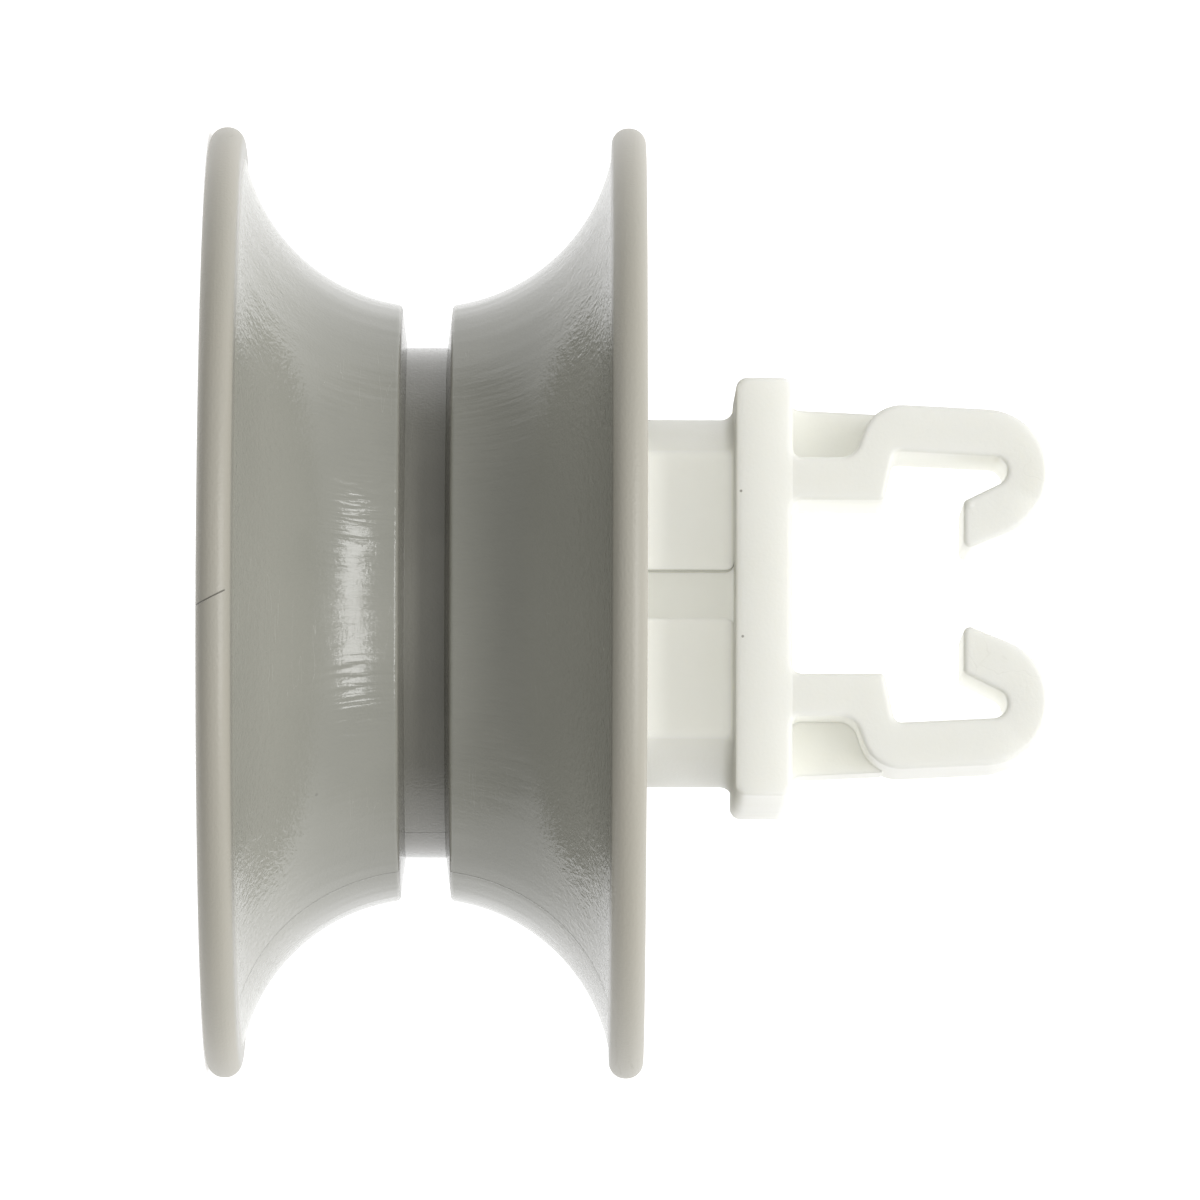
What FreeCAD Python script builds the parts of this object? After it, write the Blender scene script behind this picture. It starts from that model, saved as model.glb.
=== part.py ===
import FreeCAD, Part

# Rack roller: a grooved roller that spins on the axle of a moulded wire clip.
# Millimetres. The origin is the centre of the outer flange face that the part stands on.
# +Z runs along the roller's axis to the hooks, X across the two hooks, and the flat
# front faces of the hooks and the collar look to -Y.

import math
import os
from collections import namedtuple

import Sketcher

# Each size that can be set by itself: its name, its value and what it measures.
SIZES = (
    ("wheel_width", 17.4, "Roller over both flange faces"),
    ("rim_radius", 19.0, "Roller's radius over the rims"),
    ("rim_round", 0.66, "Rounding of each rim edge"),
    ("rim_thickness", 1.38, "Rim, flange face to the crease beside the tread"),
    ("flange_step", 1.16, "Crease beside the tread, inside the rim's radius"),
    ("tread_bottom", 11.84, "Hollow curve at mid width, from the axis"),
    ("groove_mouth", 2.0, "Width of the middle groove at the tread"),
    ("groove_floor", 1.6, "Width of the middle groove at its floor"),
    ("groove_depth", 1.64, "Depth of the middle groove"),
    ("groove_edge_round", 0.2, "Rounding of the tread edges beside the groove"),
    ("tread_wall", 1.6, "Wall between the tread and the cored pockets"),
    ("web_thickness", 4.4, "Solid web between the pockets, at mid width"),
    ("pocket_round", 0.5, "Rounding in the bottom of the pockets"),
    ("hub_wall", 2.02, "Wall of the hub tube"),
    ("hub_inset", 2.4, "Hub's ends below the flange faces"),
    ("hub_chamfer", 0.35, "Lead-in at both ends of the hub's bore"),
    ("rib_count", 6, "Ribs from the hub to the tread, each side"),
    ("rib_thickness", 1.3, "Thickness of a rib"),
    ("rib_drop", 0.6, "Rib's edge below the hub's end"),
    ("journal_radius", 4.5, "Axle that the hub turns on"),
    ("running_clearance", 0.08, "Radial clearance of the hub on the axle"),
    ("end_play", 0.1, "Clearance at each end of the hub"),
    ("barb_height", 0.8, "Snap barb above the axle"),
    ("barb_land", 0.5, "Flat length of the barb"),
    ("tip_inset", 0.7, "Axle's tip inside the outer flange face"),
    ("tip_taper", 0.8, "Axle's tip inside the axle's radius"),
    ("slot_width", 1.94, "Slot between the fingers, and band in the neck"),
    ("slot_depth", 9.0, "Slot's length from the tip"),
    ("slot_round", 0.7, "Rounding at the slot's end"),
    ("neck_step", 1.05, "Neck's round faces inside the collar's ends"),
    ("neck_flat", 4.8, "Neck's flat faces, from the axis"),
    ("neck_length", 3.52, "Neck, from the flange face to the collar"),
    ("neck_corner_round", 0.6, "Rounding between the neck's flat and round faces"),
    ("neck_round", 0.5, "Root fillet of the neck at the collar"),
    ("band_depth", 1.4, "Depth of the band between the neck's panels"),
    ("band_flare", 0.32, "Rounding of the panels' corners by the collar"),
    ("collar_thickness", 2.24, "Collar along the axis"),
    ("collar_margin", 0.43, "Collar's ends beyond the webs' root fillets"),
    ("collar_front", 8.8, "Front faces of collar and hooks, from the axis"),
    ("collar_rear", 6.8, "Rear face of the collar, from the axis"),
    ("collar_parting", 0.9, "Parting plane in front of the axis"),
    ("collar_draft", 1.2, "Draft of the collar's ends, degrees"),
    ("collar_round", 0.45, "Rounding of the collar's end edges"),
    ("collar_soft", 0.3, "Rounding of the collar's rear edges"),
    ("hook_thickness", 6.5, "Hooks from front to rear"),
    ("web_depth", 3.0, "Thin web beside each bar, from the hooks' rear"),
    ("web_setback", 0.12, "Web's outer edge inside the hook's outer wall"),
    ("bar_inner", 3.42, "Bars' inner faces, from the axis"),
    ("bar_thickness", 1.68, "Thickness of a bar"),
    ("root_round", 0.35, "Fillets of bars and webs at the collar"),
    ("seat_step", 1.74, "Wire seat's walls outside the bars' inner faces"),
    ("step_reach", 3.6, "Step at the bar's end, from the collar"),
    ("step_slope", 13.8, "Slope of the step, degrees"),
    ("corner_round", 0.33, "Inner corner of the wire seat"),
    ("edge_round", 0.2, "Small corner rounding of the hooks"),
    ("swell_lead", 1.18, "Start of the outer swell before the step"),
    ("swell_slope", 22.0, "Slope of the outer swell, degrees"),
    ("swell_inner_round", 0.8, "Hollow rounding of the swell"),
    ("swell_outer_round", 1.6, "Round shoulder of the swell"),
    ("hook_lean", 2.8, "Lean of the hooks' walls to the axis, degrees"),
    ("hook_wall", 1.86, "Wall of a hook beside the wire seat"),
    ("hook_end_radius", 2.52, "Round end of a hook"),
    ("hook_end_wall", 1.63, "Wall of a hook past the wire seat's end"),
    ("pocket_end_radius", 0.58, "Round end of the wire seat behind the lip"),
    ("lip_length", 1.72, "End of the wire seat past the lip's tip face"),
    ("lip_slope", 26.0, "Inner slope of the lip, degrees"),
    ("nose_slope", 21.8, "Outer slope of the lip, degrees"),
    ("tip_reach", 6.71, "Lip's tip face, from the collar"),
    ("lip_round", 0.25, "Rounding of the lip's point"),
    ("front_soft", 0.18, "Soft edge round the front faces of collar and hooks"),
    ("overlap", 0.6, "How far features of one moulding run into each other"),
)

FULL_TURN = 360.0
NEAR = 1e-4
EDGE_SAMPLES = 5


class Size:
    """A number together with the expression on the sheet that gives it."""

    def __init__(self, number, text=None):
        self.number = float(number)
        self.text = text or repr(float(number))

    def __add__(self, other):
        return joined(self, "+", other, lambda a, b: a + b)

    def __radd__(self, other):
        return joined(other, "+", self, lambda a, b: a + b)

    def __sub__(self, other):
        return joined(self, "-", other, lambda a, b: a - b)

    def __rsub__(self, other):
        return joined(other, "-", self, lambda a, b: a - b)

    def __mul__(self, other):
        return joined(self, "*", other, lambda a, b: a * b)

    def __rmul__(self, other):
        return joined(other, "*", self, lambda a, b: a * b)

    def __truediv__(self, other):
        return joined(self, "/", other, lambda a, b: a / b)

    def __neg__(self):
        return joined(0, "-", self, lambda a, b: a - b)


def as_size(value):
    """The value as a Size."""
    return value if isinstance(value, Size) else Size(value)


def joined(left, sign, right, work):
    """Two values joined by an arithmetic sign."""
    left, right = as_size(left), as_size(right)
    return Size(work(left.number, right.number), f"({left.text} {sign} {right.text})")


def root(value):
    """Square root of a Size."""
    return Size(math.sqrt(value.number), f"sqrt({value.text})")


def sine(angle):
    """Sine of an angle in degrees."""
    return Size(math.sin(math.radians(angle.number)), f"sin({angle.text})")


def cosine(angle):
    """Cosine of an angle in degrees."""
    return Size(math.cos(math.radians(angle.number)), f"cos({angle.text})")


def tangent(angle):
    """Tangent of an angle in degrees."""
    return Size(math.tan(math.radians(angle.number)), f"tan({angle.text})")


class SheetSizes:
    """The sizes of the sheet, each read by its name."""

    def __init__(self, document):
        sheet = document.addObject("Spreadsheet::Sheet", "Sizes")
        for row, (name, number, meaning) in enumerate(SIZES, start=1):
            sheet.set(f"A{row}", name)
            sheet.set(f"B{row}", str(number))
            sheet.set(f"C{row}", meaning)
            sheet.setAlias(f"B{row}", name)
            setattr(self, name, Size(number, f"Sizes.{name}"))


# A corner of a closed outline. rounding is a fillet between two straight edges. bow is the
# radius of the edge that leaves the corner, above zero where it turns anticlockwise.
Corner = namedtuple("Corner", "x y rounding bow", defaults=(None, None))


def corner(x, y, rounding=None, bow=None):
    """A corner whose coordinates may be plain numbers."""
    return Corner(as_size(x), as_size(y), rounding, bow)


def at(point):
    """A corner's place as a vector of the sketch."""
    return FreeCAD.Vector(point.x.number, point.y.number, 0)


def arc_between(start, end, radius):
    """The short arc from start to end, and which of its ends lies at start."""
    chord = end - start
    half = chord.Length / 2
    rise = math.sqrt(max(radius ** 2 - half ** 2, 0.0))
    side = FreeCAD.Vector(-chord.y, chord.x, 0).normalize()
    left_turn = radius > 0
    centre = start + chord * 0.5 + side * (rise if left_turn else -rise)
    first, last = (start, end) if left_turn else (end, start)
    angles = [math.atan2(p.y - centre.y, p.x - centre.x) for p in (first, last)]
    circle = Part.Circle(centre, FreeCAD.Vector(0, 0, 1), abs(radius))
    ends = (1, 2) if left_turn else (2, 1)
    return Part.ArcOfCircle(circle, angles[0], angles[1]), ends


class Outline:
    """Closed outlines in one sketch, every size of them bound to the sheet."""

    def __init__(self, body, name, plane, offset=None):
        self.sketch = body.newObject("Sketcher::SketchObject", name)
        self.sketch.AttachmentSupport = [(origin_plane(body, plane), "")]
        self.sketch.MapMode = "FlatFace"
        if offset is not None:
            self.sketch.setExpression("AttachmentOffset.Base.z", offset.text)

    def bind(self, kind, elements, size):
        """Add a constraint whose value follows the sheet."""
        index = self.sketch.addConstraint(Sketcher.Constraint(kind, *elements, size.number))
        self.sketch.setExpression(f"Constraints[{index}]", size.text)

    def place(self, geometry, end, point):
        """Hold an end of a piece of geometry at a corner's coordinates."""
        origin = (-1, 1)
        for kind, axis, size in (("DistanceX", -2, point.x), ("DistanceY", -1, point.y)):
            if size.text == "0.0":
                self.sketch.addConstraint(Sketcher.Constraint("PointOnObject", geometry, end, axis))
            else:
                self.bind(kind, (*origin, geometry, end), size)

    def close(self, corners):
        """Draw one closed outline through the corners."""
        ends = [self.rounded_ends(corners, i) for i in range(len(corners))]
        edges = []
        for i, point in enumerate(corners):
            start = ends[i][1]
            end = ends[(i + 1) % len(corners)][0]
            edges.append(self.edge(start, end, point.bow))
        for i, point in enumerate(corners):
            before, after = edges[i - 1], edges[i]
            if point.rounding is None:
                self.sketch.addConstraint(Sketcher.Constraint(
                    "Coincident", before[0], before[2], after[0], after[1]))
                self.place(after[0], after[1], point)
            else:
                self.round_corner(point, before, after, ends[i])

    def rounded_ends(self, corners, index):
        """Where the edges beside a corner stop: at the corner, or where its fillet starts."""
        point = corners[index]
        middle = at(point)
        if point.rounding is None:
            return middle, middle
        back = (at(corners[index - 1]) - middle).normalize()
        onward = (at(corners[(index + 1) % len(corners)]) - middle).normalize()
        half_angle = back.getAngle(onward) / 2
        reach = point.rounding.number / math.tan(half_angle)
        return middle + back * reach, middle + onward * reach

    def edge(self, start, end, bow):
        """A straight edge or an arc, as its index and its ends in the outline's direction."""
        if bow is None:
            return self.sketch.addGeometry(Part.LineSegment(start, end), False), 1, 2
        arc, ends = arc_between(start, end, bow.number)
        index = self.sketch.addGeometry(arc, False)
        self.bind("Radius", (index,), bow if bow.number > 0 else -bow)
        return index, ends[0], ends[1]

    def round_corner(self, point, before, after, ends):
        """A tangent fillet between two straight edges that aim at the corner."""
        mark = self.sketch.addGeometry(Part.Point(at(point)), True)
        self.place(mark, 1, point)
        for edge in (before, after):
            self.sketch.addConstraint(Sketcher.Constraint("PointOnObject", mark, 1, edge[0]))
        incoming = at(point) - ends[0]
        outgoing = ends[1] - at(point)
        turn = incoming.cross(outgoing).z
        radius = point.rounding.number if turn > 0 else -point.rounding.number
        arc, arc_ends = arc_between(ends[0], ends[1], radius)
        index = self.sketch.addGeometry(arc, False)
        self.sketch.addConstraint(Sketcher.Constraint(
            "Tangent", before[0], before[2], index, arc_ends[0]))
        self.sketch.addConstraint(Sketcher.Constraint(
            "Tangent", after[0], after[1], index, arc_ends[1]))
        self.bind("Radius", (index,), point.rounding)


def origin_feature(body, role):
    """An origin plane or axis of a body, by its role."""
    return next(item for item in body.Origin.OriginFeatures if item.Role == role)


def origin_plane(body, pair):
    """The origin plane named by its two axes, such as XZ."""
    return origin_feature(body, pair + "_Plane")


def new_body(document, label):
    """An empty body at the frame's origin, named by its label."""
    body = document.addObject("PartDesign::Body", label)
    body.Label = label
    body.Placement = FreeCAD.Placement()
    return body


def feature(body, kind, name, outline=None):
    """A new feature of the body, on an outline's sketch where it has one."""
    made = body.newObject("PartDesign::" + kind, name)
    if outline is not None:
        made.Profile = outline.sketch
        outline.sketch.Visibility = False
    return made


def settle(body, made, grows):
    """Recompute, and make sure that the feature added or took material as it should."""
    body.Document.recompute()
    base = made.BaseFeature
    before = base.Shape.Volume if base else 0.0
    change = made.Shape.Volume - before
    if (change > NEAR) != grows or abs(change) <= NEAR:
        raise RuntimeError(f"{made.Name} changed the volume by {change:.4f}")
    return made


def spun(body, name, outline):
    """A full turn of an outline about the frame's Z axis."""
    made = feature(body, "Revolution", name, outline)
    made.ReferenceAxis = (origin_feature(body, "Z_Axis"), [""])
    made.Angle = FULL_TURN
    return settle(body, made, grows=True)


def padded(body, name, outline, length, both_sides=False, back=False):
    """An outline pushed out by a length."""
    made = feature(body, "Pad", name, outline)
    made.setExpression("Length", length.text)
    made.Midplane = both_sides
    made.Reversed = back
    return settle(body, made, grows=True)


def cut(body, name, outline, length, both_sides=False, back=False):
    """An outline cut out over a length."""
    made = feature(body, "Pocket", name, outline)
    made.setExpression("Length", length.text)
    made.Midplane = both_sides
    made.Reversed = back
    return settle(body, made, grows=False)


def repeated(body, name, source, count):
    """Copies of a feature round the frame's Z axis."""
    made = feature(body, "PolarPattern", name)
    made.Originals = [source]
    made.Axis = (origin_feature(body, "Z_Axis"), [""])
    made.Angle = FULL_TURN
    made.setExpression("Occurrences", count.text)
    body.Tip = made
    return settle(body, made, grows=True)


def mirrored(body, name, sources):
    """The sources again on the other side of the YZ plane."""
    made = feature(body, "Mirrored", name)
    made.Originals = sources
    made.MirrorPlane = (origin_plane(body, "YZ"), [""])
    body.Tip = made
    return settle(body, made, grows=True)


def edges_where(shape, test):
    """Names of the edges whose whole length passes the test."""
    names = []
    for number, edge in enumerate(shape.Edges, start=1):
        if all(test(spot) for spot in edge.discretize(EDGE_SAMPLES)):
            names.append(f"Edge{number}")
    return names


def softened(body, name, base, test, radius, grows):
    """A fillet on the base feature's edges that pass the test."""
    names = edges_where(base.Shape, test)
    if not names:
        raise RuntimeError(name + " found no edge")
    made = feature(body, "Fillet", name)
    made.Base = (base, names)
    made.setExpression("Radius", radius.text)
    return settle(body, made, grows)


def close_to(value, size):
    """Whether a coordinate lies at a size."""
    return abs(value - size.number) < NEAR


def tread_radius(sizes):
    """Radius of the hollow curve that runs from its bottom at mid width to the crease."""
    rise = sizes.rim_radius - sizes.flange_step - sizes.tread_bottom
    run = sizes.wheel_width / 2 - sizes.rim_thickness
    return (rise * rise + run * run) / (rise * 2)


def curve_radius(sizes, depth, distance):
    """Distance from the axis of a curve beside the tread, at a distance from mid width.

    depth is how far the curve lies under the tread.
    """
    reach = tread_radius(sizes) + depth
    centre = sizes.tread_bottom + tread_radius(sizes)
    return centre - root(reach * reach - distance * distance)


def hub_radii(sizes):
    """Radius of the hub's bore and of its outside."""
    bore = sizes.journal_radius + sizes.running_clearance
    return bore, bore + sizes.hub_wall


def half_section(sizes, side):
    """Corners of the roller's section from the hub's bore to the groove, on one side.

    side is -1 from the outer flange face and 1 from the inner one.
    """
    half = sizes.wheel_width / 2
    half_web = sizes.web_thickness / 2
    bore, hub = hub_radii(sizes)
    hub_end = half - sizes.hub_inset
    hollow = tread_radius(sizes)
    crease = half - sizes.rim_thickness
    rim = sizes.rim_radius
    rounding = sizes.rim_round
    mouth = sizes.groove_mouth / 2
    edge = sizes.groove_edge_round
    floor = sizes.groove_floor / 2
    groove = sizes.tread_bottom - sizes.groove_depth

    def spot(radius, distance, fillet=None, bow=None):
        """A corner at a radius and a distance from mid width."""
        height = half + distance if side > 0 else half - distance
        turn = None if bow is None else (bow if side < 0 else -bow)
        return corner(radius, height, fillet, turn)

    return [
        spot(bore, hub_end - sizes.hub_chamfer),
        spot(bore + sizes.hub_chamfer, hub_end),
        spot(hub, hub_end),
        spot(hub, half_web, sizes.pocket_round),
        spot(curve_radius(sizes, sizes.tread_wall, half_web), half_web, None,
             hollow + sizes.tread_wall),
        spot(curve_radius(sizes, sizes.tread_wall, half), half),
        spot(rim - rounding, half, None, rounding),
        spot(rim, half - rounding),
        spot(rim, crease + rounding, None, rounding),
        spot(rim - rounding, crease),
        spot(rim - sizes.flange_step, crease, None, -hollow),
        spot(curve_radius(sizes, as_size(0), mouth + edge), mouth + edge, None, edge),
        spot(curve_radius(sizes, as_size(0), mouth) - edge, mouth),
        spot(groove, floor),
    ]


def both_halves(sizes, half):
    """The outer side's corners, then the inner side's in the opposite order."""
    outer = half(sizes, -1)
    inner = half(sizes, 1)
    turned = []
    for index in range(len(inner) - 1, -1, -1):
        bow = inner[index - 1].bow if index > 0 else None
        turned.append(inner[index]._replace(bow=None if bow is None else -bow))
    return outer + turned


def rib_section(sizes, side):
    """A rib between the hub and the tread's wall, on one side of the web."""
    half = sizes.wheel_width / 2
    top = half - sizes.hub_inset - sizes.rib_drop
    foot = sizes.web_thickness / 2 - sizes.overlap / 2
    buried = sizes.tread_wall / 2
    inner = hub_radii(sizes)[1] - sizes.overlap

    def spot(radius, distance, bow=None):
        """A corner at a radius and a distance from mid width."""
        height = half + distance if side > 0 else half - distance
        return corner(radius, height, None, bow)

    bow = tread_radius(sizes) + buried
    return [
        spot(inner, top),
        spot(curve_radius(sizes, buried, top), top, -bow if side < 0 else bow),
        spot(curve_radius(sizes, buried, foot), foot),
        spot(inner, foot),
    ]


def make_roller(document, sizes):
    """The grey roller: two hollow treads, a middle groove, cored pockets and a ribbed hub."""
    body = new_body(document, "roller")
    section = Outline(body, "RollerSection", "XZ")
    section.close(both_halves(sizes, half_section))
    spun(body, "Wheel", section)
    ribs = Outline(body, "RibSection", "XZ")
    for side in (-1, 1):
        ribs.close(rib_section(sizes, side))
    rib = padded(body, "Rib", ribs, sizes.rib_thickness, both_sides=True)
    repeated(body, "Ribs", rib, sizes.rib_count)
    return body


def hub_span(sizes):
    """Heights of the hub's lower and upper ends."""
    return sizes.hub_inset, sizes.wheel_width - sizes.hub_inset


def collar_span(sizes):
    """Heights of the collar's faces toward the roller and toward the hooks."""
    near = sizes.wheel_width + sizes.neck_length
    return near, near + sizes.collar_thickness


def axle_section(sizes):
    """The axle in section, from its tip past the barb into the neck."""
    hub_low, hub_high = hub_span(sizes)
    ledge = hub_low - sizes.end_play
    barb = sizes.journal_radius + sizes.barb_height
    return [
        corner(0, sizes.tip_inset),
        corner(sizes.journal_radius - sizes.tip_taper, sizes.tip_inset),
        corner(barb, ledge - sizes.barb_land),
        corner(barb, ledge),
        corner(sizes.journal_radius, ledge),
        corner(sizes.journal_radius, hub_high + sizes.end_play + sizes.overlap),
        corner(0, hub_high + sizes.end_play + sizes.overlap),
    ]


def neck_radius(sizes):
    """Radius of the neck's round faces."""
    return collar_half_height(sizes) - sizes.neck_step


def neck_edge(sizes):
    """Where the neck's round and flat faces meet, from the axis."""
    return root(neck_radius(sizes) * neck_radius(sizes) - sizes.neck_flat * sizes.neck_flat)


def neck_section(sizes):
    """The neck seen along the axis: round top and bottom, flat front and rear."""
    flat = sizes.neck_flat
    edge = neck_edge(sizes)
    bow = neck_radius(sizes)
    return [
        corner(edge, -flat, None, bow),
        corner(edge, flat),
        corner(-edge, flat, None, bow),
        corner(-edge, -flat),
    ]


def collar_half_height(sizes):
    """Half height of the collar at its parting plane, past the webs' root fillets."""
    web = outer_wall(sizes, collar_span(sizes)[1]) - sizes.web_setback
    return web + sizes.root_round * 2 + sizes.collar_margin


def collar_section(sizes):
    """The collar seen along the axis, its ends drafted from the parting plane."""
    slant = tangent(sizes.collar_draft)
    parting = -sizes.collar_parting
    high = collar_half_height(sizes)
    front = high - (sizes.collar_front - sizes.collar_parting) * slant
    rear = high - (sizes.collar_rear + sizes.collar_parting) * slant
    return [
        corner(front, -sizes.collar_front),
        corner(high, parting),
        corner(rear, sizes.collar_rear),
        corner(-rear, sizes.collar_rear),
        corner(-high, parting),
        corner(-front, -sizes.collar_front),
    ]


def seat_end(sizes):
    """Centre of the wire seat's round end behind the lip."""
    ring = sizes.pocket_end_radius
    end = collar_span(sizes)[1] + sizes.tip_reach + sizes.lip_length
    return sizes.bar_inner + sizes.seat_step - ring, end - ring


def hook_end(sizes):
    """Centre of a hook's round end."""
    ring = sizes.hook_end_radius
    seat_top = seat_end(sizes)[1] + sizes.pocket_end_radius
    offset = sizes.bar_inner + sizes.seat_step + sizes.hook_wall - ring
    return offset, seat_top + sizes.hook_end_wall - ring


def outer_wall(sizes, height):
    """Distance from the axis of a hook's outer wall at a height."""
    lean = sizes.hook_lean
    offset, centre = hook_end(sizes)
    touch = offset + sizes.hook_end_radius * cosine(lean)
    touch_height = centre + sizes.hook_end_radius * sine(lean)
    return touch + (touch_height - height) * tangent(lean)


def step_end_height(sizes):
    """Height where the step meets the wall of the wire seat."""
    step = collar_span(sizes)[1] + sizes.step_reach
    return step + sizes.seat_step * tangent(sizes.step_slope)


def seat_corners(sizes):
    """The wire seat's side of a hook, from the step to the lip's inner corner."""
    collar_top = collar_span(sizes)[1]
    lean = sizes.hook_lean
    lip = sizes.lip_slope
    ring = sizes.pocket_end_radius
    offset, height = seat_end(sizes)
    wall_touch = height + ring * sine(lean)
    wall_offset = offset + ring * cosine(lean)
    step_end = step_end_height(sizes)
    lip_touch = height + ring * sine(lip)
    lip_offset = offset - ring * cosine(lip)
    tip = collar_top + sizes.tip_reach
    return [
        corner(sizes.bar_inner, collar_top + sizes.step_reach, sizes.edge_round),
        corner(wall_offset + (wall_touch - step_end) * tangent(lean), step_end,
               sizes.corner_round),
        corner(wall_offset, wall_touch, None, ring),
        corner(lip_offset, lip_touch),
        corner(lip_offset - (lip_touch - tip) * tangent(lip), tip, sizes.edge_round),
    ]


def outer_corners(sizes):
    """A hook's outer side, from the lip's point round the end to the bar."""
    collar_top = collar_span(sizes)[1]
    lean = sizes.hook_lean
    nose = sizes.nose_slope
    ring = sizes.hook_end_radius
    offset, height = hook_end(sizes)
    tip = collar_top + sizes.tip_reach
    nose_touch = height + ring * sine(nose)
    nose_offset = offset - ring * cosine(nose)
    bar_outer = sizes.bar_inner + sizes.bar_thickness
    swell = collar_top + sizes.step_reach - sizes.swell_lead
    shoulder = swell + sizes.hook_wall * tangent(sizes.swell_slope)
    return [
        corner(nose_offset - (nose_touch - tip) * tangent(nose), tip, sizes.lip_round),
        corner(nose_offset, nose_touch, None, -ring),
        corner(offset + ring * cosine(lean), height + ring * sine(lean)),
        corner(outer_wall(sizes, shoulder), shoulder, sizes.swell_outer_round),
        corner(bar_outer, swell, sizes.swell_inner_round),
    ]


def hook_section(sizes):
    """A bar with its hook, in the plane of the wire seat; its foot lies in the collar."""
    collar_top = collar_span(sizes)[1]
    foot = collar_top - sizes.overlap
    flare = sizes.root_round * 2
    inner = sizes.bar_inner - flare
    outer = sizes.bar_inner + sizes.bar_thickness + flare
    return [
        corner(inner, foot),
        corner(inner, collar_top),
        corner(sizes.bar_inner, collar_top, sizes.root_round),
        *seat_corners(sizes),
        *outer_corners(sizes),
        corner(outer - flare, collar_top, sizes.root_round),
        corner(outer, collar_top),
        corner(outer, foot),
    ]


def web_section(sizes):
    """The thin web between a bar, the collar and the hook's shoulder."""
    collar_top = collar_span(sizes)[1]
    foot = collar_top - sizes.overlap
    flare = sizes.root_round * 2
    end = collar_top + sizes.step_reach
    inner = sizes.bar_inner + sizes.bar_thickness - sizes.overlap
    base = outer_wall(sizes, collar_top) - sizes.web_setback
    return [
        corner(inner, foot),
        corner(inner, end),
        corner(outer_wall(sizes, end) - sizes.web_setback, end),
        corner(base, collar_top, sizes.root_round),
        corner(base + flare, collar_top),
        corner(base + flare, foot),
    ]


def band_section(sizes):
    """The band between the neck's panels, opening out at the collar."""
    hub_high = hub_span(sizes)[1]
    collar_low = collar_span(sizes)[0]
    half = sizes.slot_width / 2
    flare = sizes.band_flare
    start = hub_high + sizes.end_play
    return [
        corner(-half, start),
        corner(half, start),
        corner(half, collar_low - flare, None, -flare),
        corner(half + flare, collar_low),
        corner(-half - flare, collar_low, None, -flare),
        corner(-half, collar_low - flare),
    ]


def slot_section(sizes):
    """The slot that parts the axle into two fingers, its end well rounded."""
    half = sizes.slot_width / 2
    end = sizes.tip_inset + sizes.slot_depth
    return [
        corner(-half, sizes.tip_inset - sizes.overlap),
        corner(half, sizes.tip_inset - sizes.overlap),
        corner(half, end, sizes.slot_round),
        corner(-half, end, sizes.slot_round),
    ]


def make_clip(document, sizes):
    """The white clip: barbed axle, neck, collar and two wire hooks in one moulding."""
    body = new_body(document, "axle_clip")
    collar_low, collar_top = collar_span(sizes)
    shoulder = hub_span(sizes)[1] + sizes.end_play

    collar = Outline(body, "CollarSection", "XY", collar_low)
    collar.close(collar_section(sizes))
    plate = padded(body, "Collar", collar, sizes.collar_thickness)
    softened(body, "CollarEnds", plate, lambda p: on_collar_end(sizes, p),
             sizes.collar_round, grows=False)

    neck = Outline(body, "NeckSection", "XY", shoulder)
    neck.close(neck_section(sizes))
    neck_pad = padded(body, "Neck", neck, collar_low - shoulder)
    panels = softened(body, "NeckCorners", neck_pad, lambda p: on_neck_corner(sizes, p),
                      sizes.neck_corner_round, grows=False)
    softened(body, "NeckRoot", panels, lambda p: on_neck_root(sizes, p),
             sizes.neck_round, grows=True)

    axle = Outline(body, "AxleSection", "XZ")
    axle.close(axle_section(sizes))
    spun(body, "Axle", axle)

    hook = Outline(body, "HookSection", "XZ", sizes.collar_front - sizes.hook_thickness)
    hook.close(hook_section(sizes))
    hook_pad = padded(body, "Hook", hook, sizes.hook_thickness)
    web = Outline(body, "WebSection", "XZ", sizes.collar_front - sizes.hook_thickness)
    web.close(web_section(sizes))
    web_pad = padded(body, "Web", web, sizes.web_depth)
    both = mirrored(body, "OtherHook", [hook_pad, web_pad])
    front = softened(body, "FrontEdges", both, lambda p: close_to(-p.y, sizes.collar_front),
                     sizes.front_soft, grows=False)
    softened(body, "RearEdges", front, lambda p: close_to(p.y, sizes.collar_rear),
             sizes.collar_soft, grows=False)

    for name, back in (("FrontBand", False), ("RearBand", True)):
        start = sizes.neck_flat - sizes.band_depth
        band = Outline(body, name + "Section", "XZ", -start if back else start)
        band.close(band_section(sizes))
        cut(body, name, band, sizes.band_depth + sizes.overlap, back=not back)
    slot = Outline(body, "SlotSection", "XZ")
    slot.close(slot_section(sizes))
    cut(body, "Slot", slot, (sizes.journal_radius + sizes.barb_height) * 3, both_sides=True)
    return body


def on_collar_end(sizes, spot):
    """Whether a spot lies on one of the collar's long end edges."""
    low, top = collar_span(sizes)
    reach = collar_half_height(sizes).number - abs(spot.x)
    return (close_to(spot.z, low) or close_to(spot.z, top)) and reach < sizes.overlap.number


def on_neck_corner(sizes, spot):
    """Whether a spot lies on one of the neck's four long edges."""
    return close_to(abs(spot.x), neck_edge(sizes)) and close_to(abs(spot.y), sizes.neck_flat)


def on_neck_root(sizes, spot):
    """Whether a spot lies where the neck meets the collar."""
    from_axis = math.hypot(spot.x, spot.y)
    return close_to(spot.z, collar_span(sizes)[0]) and from_axis < neck_radius(sizes).number + NEAR


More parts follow.
